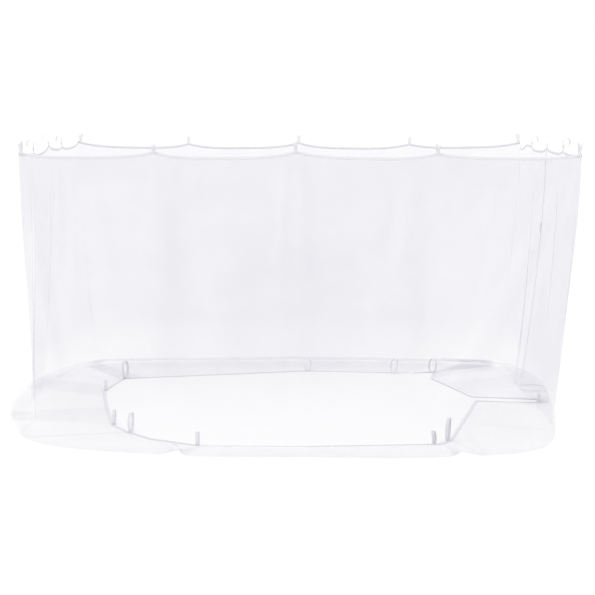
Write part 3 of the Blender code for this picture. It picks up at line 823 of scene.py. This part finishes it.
def tape_weave_group():
    """Woven tape: ribs and picks as the product of two sines, with painted shade in the weave's
    low places, darker towards both selvedges, and uneven from yarn to yarn."""
    inputs = {"Vector": ["Cloth"], "Float": ["Width", "Rib"], "Color": ["Light", "Dark"]}
    outputs = {"Color": ["Color"], "Float": ["Height"]}
    group, given, made = new_group("tape weave", inputs, outputs)
    x, y = split_node(group, given["Cloth"])
    turns = math_node(group, "DIVIDE", FULL_TURN, given["Rib"])
    across = math_node(group, "MULTIPLY", x, turns)
    down = math_node(group, "MULTIPLY", y, turns)
    rib = math_node(group, "SINE", math_node(group, "ADD", across, down))
    pick = math_node(group, "SINE", math_node(group, "MULTIPLY", down, 2.0))
    height = math_node(group, "MULTIPLY_ADD", math_node(group, "MULTIPLY", rib, pick), 0.5, 0.5)
    half = math_node(group, "MULTIPLY", given["Width"], 0.5)
    out = math_node(group, "DIVIDE", math_node(group, "ABSOLUTE", x), half)
    selvedge = range_node(group, out, 0.8, 0.97, 0.0, 0.35)
    yarn = range_node(group, noise_node(group, given["Cloth"], 260.0), 0.3, 0.7, 0.0, 0.25)
    # Painted shade: the weave's low places turn towards the dark colour.
    weave = math_node(group, "MULTIPLY", math_node(group, "SUBTRACT", 1.0, height), 0.35)
    darker = math_node(group, "ADD", math_node(group, "ADD", weave, selvedge), yarn)
    color = mix_node(group, darker, given["Light"], given["Dark"])
    group.links.new(color, made["Color"])
    group.links.new(height, made["Height"])
    return group


def finish_base(name, color, roughness, metallic=0.0):
    """A material with its shader set, and that shader."""
    made = bpy.data.materials.new(name)
    made.use_nodes = True
    shader = made.node_tree.nodes["Principled BSDF"]
    set_inputs(shader, Base_Color=(*color, 1), Roughness=roughness, Metallic=metallic)
    return made, shader


def place_group(tree, group, **values):
    """A group node with its own values, over the piece's UV map in metres."""
    node = tree.nodes.new("ShaderNodeGroup")
    node.node_tree = group
    cloth = tree.nodes.new("ShaderNodeUVMap")
    cloth.uv_map = "cloth"
    tree.links.new(cloth.outputs["UV"], node.inputs["Cloth"])
    return set_inputs(node, **values)


def closely_at(tree):
    """How closely the piece screens there, as set_closely stored it."""
    node = tree.nodes.new("ShaderNodeAttribute")
    node.attribute_name = "closely"
    return node.outputs["Fac"]


def bump(tree, height, shader, strength, distance):
    """A Bump node from a height to the shader's normal."""
    node = set_inputs(tree.nodes.new("ShaderNodeBump"), Strength=strength, Distance=distance)
    tree.links.new(height, node.inputs["Height"])
    tree.links.new(node.outputs["Normal"], shader.inputs["Normal"])


def netting_finish(group):
    """Sheer white polyester netting."""
    made, shader = finish_base("sheer netting", (0.41, 0.393, 0.503), 0.75)
    tree = made.node_tree
    net = place_group(tree, group, Cell=MESH_CELL, Hole_Alpha=0.135, Thread_Alpha=0.193)
    tree.links.new(closely_at(tree), net.inputs["Gathered"])
    tree.links.new(net.outputs["Alpha"], shader.inputs["Alpha"])
    set_inputs(shader, Sheen_Weight=0.1)
    bump(tree, net.outputs["Thread"], shader, 0.3, 0.0002)
    return made


def tape_finish(name, group, width, yarn, rib=0.0016, alpha=1.0, painted_glow=0.0):
    """Woven polyester tape of a light colour and a dark one, which gives uneven yarn, darker
    selvedges and painted shade in the weave's low places; its weave runs across the whole width.
    An alpha of None is as closely as each place of the tape screens, and a painted glow, if given,
    gives off the light colour so the tape shows paler."""
    light, dark = yarn
    made, shader = finish_base(name, light, 0.8)
    tree = made.node_tree
    weave = place_group(tree, group, Width=width, Rib=rib, Light=(*light, 1), Dark=(*dark, 1))
    tree.links.new(weave.outputs["Color"], shader.inputs["Base Color"])
    set_inputs(shader, Sheen_Weight=0.15)
    # Painted glow: the tape gives off its light colour, so it shows paler.
    set_inputs(shader, Emission_Color=(*light, 1), Emission_Strength=painted_glow)
    if alpha is None:
        tree.links.new(closely_at(tree), shader.inputs["Alpha"])
    else:
        set_inputs(shader, Alpha=alpha)
    bump(tree, weave.outputs["Height"], shader, 0.5, 0.0003)
    return made


def plain_finish(name, color, roughness, metallic=0.0, speck=40.0):
    """One colour with a soft unevenness of tone over the piece."""
    made, shader = finish_base(name, color, roughness, metallic)
    tree = made.node_tree
    where = tree.nodes.new("ShaderNodeTexCoord").outputs["Object"]
    darker = (*[c * (1 - UNEVEN) for c in color], 1)
    lighter = (*[min(1.0, c * (1 + UNEVEN)) for c in color], 1)
    toned = mix_node(tree, noise_node(tree, where, speck), darker, lighter)
    tree.links.new(toned, shader.inputs["Base Color"])
    return made


# ---- The pieces ----


def finished(piece, material, slot, *nodes):
    """The piece with its material, riding on the one body and standing for its solids."""
    piece.data.materials.clear()
    piece.data.materials.append(material)
    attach(piece, "root")
    if nodes:
        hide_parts(*nodes)
    return piece


def build_netting(at, grid, material):
    """The one sheet of netting, with its UVs in metres round and down the cloth."""
    rows, cols = grid.shape[:2]
    quads, row, col = grid_quads(rows, cols)
    round_net = np.append(at, PERIMETER)
    uv = np.stack([round_net[col], down_the_cloth(grid)[row]], axis=-1)
    piece = make_piece("netting_cloth", grid.reshape(-1, 3), quads.tolist(), uv)
    drop = (np.arange(rows)[:, None] - FIRST_WALL_ROW + 1) / WALL_STEPS
    # Painted light: the wall screens less towards its foot and the cloth on the floor less still,
    # so both show lighter, as if lit by the bright floor and from above.
    painted_light = np.clip((drop - PAINTED_LIGHT_FROM) / (1 - PAINTED_LIGHT_FROM), 0, 1)
    screens = 1 + (gathered(at, grid) - 1) * np.where(drop > 1, FLOOR_CREASE_SCREEN, 1.0)
    screens *= 1 - (1 - FLOOR_PAINTED_LIGHT_SCREEN) * painted_light
    for row in range(FIRST_WALL_ROW, FIRST_UNDER_ROW):
        more = fullness(at, min(1.0, drop[row, 0]))
        if row < FIRST_ROLL_ROW:
            more = CREASE_SCREEN * crease_depth(at, drop[row, 0]) + more
        screens[row] *= 1 + more
    for row in range(FIRST_ROLL_ROW, rows):
        share = (row - FIRST_ROLL_ROW + 1) / (ROLL_STEPS + UNDER_STEPS)
        screens[row] += laid_double(at, share)
    screens[:2] *= TAPED_SCREEN
    set_closely(piece, screens)
    return finished(piece, material, "netting", "netting")


def build_top_binding(grid, weave):
    """The binding along the top edge, a tape outside the netting, with its seam."""
    normals = mitre_normals(grid[0, :, :2])
    outside = SHEET / 2 + GAP + TAPE / 2
    centre = (grid[0] + grid[2]) / 2 + normals * outside
    across = np.broadcast_to(UPRIGHT, centre.shape)
    tape = tape_piece("top_binding", centre, across, normals, TAPE_WIDTH, TAPE, closed=True)
    finished(tape, weave, "binding_tape", *["top_tape_" + side for side in OUTWARD])
    seam = []
    for share in SEAM_SHARES:
        line = grid[0] + (grid[2] - grid[0]) * share + normals * (outside + TAPE / 2)
        points, along = spaced_along(line, STITCH_PITCH, closed=True)
        seam.append((points, along, unit(np.cross(along, UPRIGHT))))
    return tape, [np.concatenate(parts) for parts in zip(*seam)]


def build_hem_binding(grid, weave):
    """The hem's tape, flat on the lower layer, its inner edge curled up a little."""
    edge = grid[-1]
    normals = mitre_normals(edge[:, :2])
    long = np.linalg.norm(normals, axis=1, keepdims=True)
    normals *= np.minimum(1.0, MITRE_MOST / long)
    run = run_along(edge)
    curl = 0.002 + 0.001 * np.sin(run * 3.1) + 0.0008 * np.sin(run * 7.7 + 1.0)
    sideways = np.abs(unit(normals)[:, 0])
    curl *= sideways
    inner = edge + normals * HEM_INSET
    outer = edge + normals * HEM_WIDTH
    level = SHEET + GAP + HEM_TAPE / 2
    outer[:, 2] = level
    inner[:, 2] = level + curl
    across = unit(inner - outer)
    facing = unit(np.cross(across, unit(ring_step(edge))))
    facing *= np.sign(facing[:, 2:])
    width = np.linalg.norm(inner - outer, axis=1).mean()
    tape = tape_piece(
        "hem_binding", (inner + outer) / 2, across, facing, width, HEM_TAPE, closed=True
    )
    set_closely(tape, HEM_SHEER + (1 - HEM_SHEER) * np.clip(sideways / 0.5, 0, 1))
    finished(tape, weave, "binding_tape", "hem_tape")
    line = (inner + outer) / 2 + facing * HEM_TAPE / 2
    points, along = spaced_along(line, STITCH_PITCH, closed=True)
    return tape, (points, along, np.broadcast_to(UPRIGHT, points.shape))


def softened(path):
    """A path whose inner points are twice moved towards the middle of their neighbours."""
    for _ in range(2):
        path = np.concatenate([path[:1], (path[:-2] + 2 * path[1:-1] + path[2:]) / 4, path[-1:]])
    return path


def upright_tape(name, place, path, outward):
    """A loop or strap: its tape along a path of (out, up) pairs from its place, where
    outward is the way out at each. Gives the piece and the tape's way across."""
    across = np.column_stack([-outward[:, 1], outward[:, 0], outward[:, 2]])
    step = unit(np.gradient(path, axis=0))
    facing = outward * -step[:, 1:] + UPRIGHT * step[:, :1]
    centre = place + path[:, :1] * outward + path[:, 1:] * UPRIGHT
    return tape_piece(name, centre, across, facing, LOOP_WIDTH, TAPE), across


def build_hanging_loop(row, weave):
    """One hanging loop, sewn down outside the binding: two layers up a stem, and an eye
    that opens outwards. Gives the piece and its stitches."""
    name, faces, along, x, y, up, _, _, eye, stem, turn = row
    out = np.array(OUTWARD[faces], float)
    inset = -np.sign(x) * CORNER_INSET if along in CORNERS else 0.0
    angles = np.radians(np.linspace(180, -130, 41))
    ring = np.column_stack([eye + eye * np.cos(angles), stem + eye * (1.1 + np.sin(angles))])
    apart = TAPE + LEG_GAP
    rise = np.linspace(-LOOP_LAP, stem * 0.5, 7)
    legs_up = np.column_stack([np.zeros(7), rise])
    legs_down = np.column_stack([np.full(7, apart), rise[::-1]])
    path = softened(np.concatenate([legs_up, ring, legs_down]))
    place = np.array([x + inset, y, HANG_HEIGHT + up]) + CENTRE
    place[:2] += out * OUT_OF_TAPE
    share = np.clip(path[:, 1] / (stem + eye), 0, 1)
    angle = np.arctan2(out[1], out[0]) + np.radians(turn) * share
    outward = np.column_stack([np.cos(angle), np.sin(angle), np.zeros(len(path))])
    piece, across = upright_tape("loop_" + name, place, path, outward)
    finished(piece, weave, "loop_tape", "hang_loop_" + name)
    front = place + outward[0] * (apart + TAPE / 2)
    tack = np.linspace(-0.4, 0.4, 6) * LOOP_WIDTH
    tacks = np.array([front + across[0] * t + UPRIGHT * h for h in TACK_ROWS for t in tack])
    return piece, (tacks, *[np.broadcast_to(v[0], tacks.shape) for v in (across, outward)])


def build_hem_strap(row, weave):
    """One strap that stands on the hem: an oval that leans by the square of the height."""
    name, x, y, facing_angle, height, eye, lean = row
    angles = np.radians(np.linspace(10, 350, 45))
    rise = (1 - np.cos(angles)) / 2
    path = np.column_stack([-eye / 2 * np.sin(angles) + lean * rise**2, rise * height])
    path[:, 1] -= path[0, 1]
    place = np.array([x, y, SHEET + 2 * GAP + TAPE + TAPE / 2]) + CENTRE
    turn = np.radians(facing_angle)
    outward = np.tile([np.cos(turn), np.sin(turn), 0.0], (len(path), 1))
    piece, _ = upright_tape("strap_" + name, place, path, outward)
    return finished(piece, weave, "strap_tape", "hem_strap_" + name)


def build_zip(at, grid, weave, coil):
    """The zip on the room side: its tape down the cloth, and its teeth, each a small
    tapered block, set to either side of the middle in turn."""
    column = int(np.argmin(np.abs(at - ZIP_ALONG)))
    strip = grid[FIRST_WALL_ROW - 1 : FIRST_UNDER_ROW - 4]
    line = strip[:, column]
    across = unit(strip[:, column + 1] - strip[:, column - 1])
    down = unit(np.gradient(line, axis=0))
    inward = unit(np.cross(across, down))
    inward *= -np.sign(inward[:1, :1])
    centre = line + inward * (SHEET / 2 + GAP + TAPE / 2)
    tape = tape_piece("zip_tape_woven", centre, across, inward, ZIP_WIDTH, TAPE)
    knee = (WALL_STEPS - 8, WALL_STEPS + 2)
    set_closely(tape, np.interp(np.arange(len(line)), knee, (ZIP_SHEER, ZIP_FLOOR_SHEER)))
    finished(tape, weave, "zip_tape", "zip_tape")
    middle = centre + inward * (TAPE / 2 + TOOTH_SUNK)
    points, along = spaced_along(middle, TOOTH_PITCH, closed=False)
    run = run_along(line)
    at_tooth = np.arange(len(points)) * TOOTH_PITCH + TOOTH_PITCH / 2
    side, face = values_along(at_tooth, run, across), values_along(at_tooth, run, inward)
    sideways = np.where(np.arange(len(points)) % 2, TOOTH_APART, -TOOTH_APART)
    points = points + side * sideways[:, None]
    foot = np.array([(-1, -1), (1, -1), (1, 1), (-1, 1)]) * TOOTH_FOOT
    ends = []
    for corners, height in ((foot, -TOOTH_SUNK), (foot * TOOTH_TIP, TOOTH_HEIGHT)):
        flat = points[:, None] + side[:, None] * corners[:, :1] + along[:, None] * corners[:, 1:]
        ends.append(flat + face[:, None] * height)
    blocks = np.concatenate(ends, axis=1)
    block = [(0, 3, 2, 1), (4, 5, 6, 7), (0, 1, 5, 4), (1, 2, 6, 5), (2, 3, 7, 6), (3, 0, 4, 7)]
    faces = copied_faces(block, len(points), 8)
    teeth = make_piece("zip_teeth", blocks.reshape(-1, 3), faces, smooth=False)
    turn_outwards(teeth)
    finished(teeth, coil, "zip_tape")
    return tape, teeth, (line, across, inward)


def plate(outline, back, front, frame):
    """A plate, from back to front inwards of the zip, with an outline of (across, up)."""
    place, across, up, inward = frame
    outline = np.asarray(outline, float)
    flat = place + outline[:, :1] * across + outline[:, 1:] * up
    points = np.concatenate([flat + inward * back, flat + inward * front])
    n = len(outline)
    faces = [list(range(n)), list(range(n, 2 * n))[::-1]]
    faces += [[i, n + i, n + (i + 1) % n, (i + 1) % n] for i in range(n)]
    return points, faces


def rounded(width, top, bottom):
    """An upright outline with half round ends: width across, from bottom to top."""
    half = width / 2
    a = np.linspace(0, np.pi, 7)
    arc = half * np.column_stack([np.cos(a), np.sin(a)])
    return np.concatenate([arc + (0, top - half), (0, bottom + half) - arc])


def build_slider(zip_line, metal):
    """The slider: a shield-shaped body, a bridge over it and a long pull, all plates."""
    line, across, inward = zip_line
    row = int(np.searchsorted(-line[:, 2], -SLIDER_HEIGHT)) - 1
    share = (line[row, 2] - SLIDER_HEIGHT) / (line[row, 2] - line[row + 1, 2])
    place = line[row] + (line[row + 1] - line[row]) * share
    up = unit(line[row] - line[row + 1])
    frame = (place, across[row], up, inward[row])
    back = SHEET / 2 + GAP + ZIP + SLIDER_CLEAR
    body = [(0.0042, 0.01), (0.0045, 0.004), (0.0032, -0.002), (0.0032, -0.01)]
    body = body + [(-x, y) for x, y in reversed(body)]
    parts = [
        plate(body, back, back + 0.0022, frame),
        plate(rounded(0.0034, 0.0085, -0.0085), back + 0.0022, back + 0.0046, frame),
        plate(rounded(0.0058, -0.0005, -0.02), back + 0.0048, back + 0.0062, frame),
        plate(rounded(0.0086, -0.017, -0.0675), back + 0.0044, back + 0.0066, frame),
    ]
    points, faces, count = [], [], 0
    for part_points, part_faces in parts:
        faces += [[count + i for i in face] for face in part_faces]
        points.append(part_points)
        count += len(part_points)
    piece = make_piece("zip_slider_pull", np.concatenate(points), faces, smooth=False)
    turn_outwards(piece)
    edge = piece.modifiers.new("softened edges", "BEVEL")
    edge.width = 0.0004
    edge.segments = 2
    edge.limit_method = "ANGLE"
    return finished(piece, metal, "zip_slider", "zip_slider")


def build_surroundings():
    """A plain pale floor under a white sky, and two soft suns high over it."""
    corners = np.array([(-1, -1, 0), (1, -1, 0), (1, 1, 0), (-1, 1, 0)]) * 100.0
    floor = make_piece("floor", corners, [(0, 1, 2, 3)], smooth=False)
    pale, shader = finish_base("pale floor", (0.62, 0.62, 0.62), 0.9)
    set_inputs(shader, Emission_Color=(1, 1, 1, 1), Emission_Strength=0.2)
    floor.data.materials.append(pale)
    world = bpy.data.worlds.new("white studio")
    world.use_nodes = True
    set_inputs(world.node_tree.nodes["Background"], Color=(1, 1, 1, 1), Strength=1.0)
    bpy.context.scene.world = world
    for name, towards, strength, spread in (
        ("key", (-0.35, -0.4, 1.0), 0.8, 50.0),
        ("fill", (0.45, 0.25, 1.0), 0.45, 60.0),
    ):
        lamp = bpy.data.lights.new(name, "SUN")
        lamp.energy = strength
        lamp.angle = np.radians(spread)
        back = unit(np.array(towards))
        side = unit(np.cross(UPRIGHT, back))
        turn = np.column_stack([side, np.cross(back, side), back])
        put_in(name, lamp).matrix_world = Matrix(turn.tolist()).to_4x4()


def build_camera():
    """The camera before the front, above the top edge and tilted down a little."""
    place = np.array([0.1058, -11.874, 2.4282]) + CENTRE
    yaw, pitch, roll = -0.0086, 0.13, 0.0027
    ahead = np.array([np.sin(yaw) * np.cos(pitch), np.cos(yaw) * np.cos(pitch), -np.sin(pitch)])
    level = np.array([np.cos(yaw), -np.sin(yaw), 0.0])
    above = np.cross(level, ahead)
    right = level * np.cos(roll) + above * np.sin(roll)
    top = -level * np.sin(roll) + above * np.cos(roll)
    data = bpy.data.cameras.new("camera")
    data.sensor_width = 36.0
    data.lens = 88.9
    camera = put_in("camera", data)
    turn = Matrix(np.column_stack([right, top, -ahead]).tolist()).to_4x4()
    camera.matrix_world = Matrix.Translation(place.tolist()) @ turn
    bpy.context.scene.camera = camera


def main():
    for obj in list(bpy.data.objects):
        bpy.data.objects.remove(obj, do_unlink=True)
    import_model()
    sheer = netting_finish(net_mesh_group())
    weave = tape_weave_group()
    binding = tape_finish("binding tape", weave, TAPE_WIDTH, BINDING_YARN_AND_SHADE, 0.0014)
    hemming = tape_finish("hem tape", weave, HEM_WIDTH, HEM_YARN_AND_SHADE, 0.0014, alpha=None)
    looping = tape_finish("loop tape", weave, LOOP_WIDTH, LOOP_YARN_AND_SHADE)
    strapping = tape_finish("strap tape", weave, LOOP_WIDTH, STRAP_YARN_AND_SHADE)
    # Painted glow: the sheer straps' tape shows paler than the strap tape.
    sheer_painted_glow_strapping = tape_finish(
        "sheer strap tape with painted glow", weave, LOOP_WIDTH, BINDING_YARN_AND_SHADE, alpha=0.8, painted_glow=0.1
    )
    zipping = tape_finish("zip tape", weave, ZIP_WIDTH, BINDING_YARN_AND_SHADE, 0.0012, alpha=None)
    thread = plain_finish("sewing thread", (0.78, 0.78, 0.8), 0.6)
    coil = plain_finish("zip coil", (0.84, 0.84, 0.87), 0.35)
    metal = plain_finish("slider metal", (0.46, 0.46, 0.5), 0.35, 0.6, speck=300.0)

    at = stations()
    grid = net_rows(at)
    cloth = build_netting(at, grid, sheer)
    top, top_seam = build_top_binding(grid, binding)
    hem, hem_seam = build_hem_binding(grid, hemming)
    top_stitches = finished(stitches("top_stitching", *top_seam), thread, "binding_tape")
    hem_stitches = finished(stitches("hem_stitching", *hem_seam), thread, "binding_tape")
    loops, tacks = zip(*[build_hanging_loop(row, looping) for row in HANG_POINTS])
    tacks = [np.concatenate(parts) for parts in zip(*tacks)]
    loop_stitches = finished(stitches("loop_stitching", *tacks), thread, "loop_tape")
    on_cloth = [top, hem, top_stitches, hem_stitches, *loops, loop_stitches]
    for row in HEM_STRAPS:
        weaving = sheer_painted_glow_strapping if row[0] in SHEER_PAINTED_GLOW_STRAPS else strapping
        on_cloth.append(build_hem_strap(row, weaving))
    zip_tape, teeth, zip_line = build_zip(at, grid, zipping, coil)
    on_cloth += [zip_tape, teeth, build_slider(zip_line, metal)]

    build_surroundings()
    build_camera()
    bpy.context.scene.view_settings.view_transform = "Standard"
    bpy.context.scene.cycles.transparent_max_bounces = 40


main()
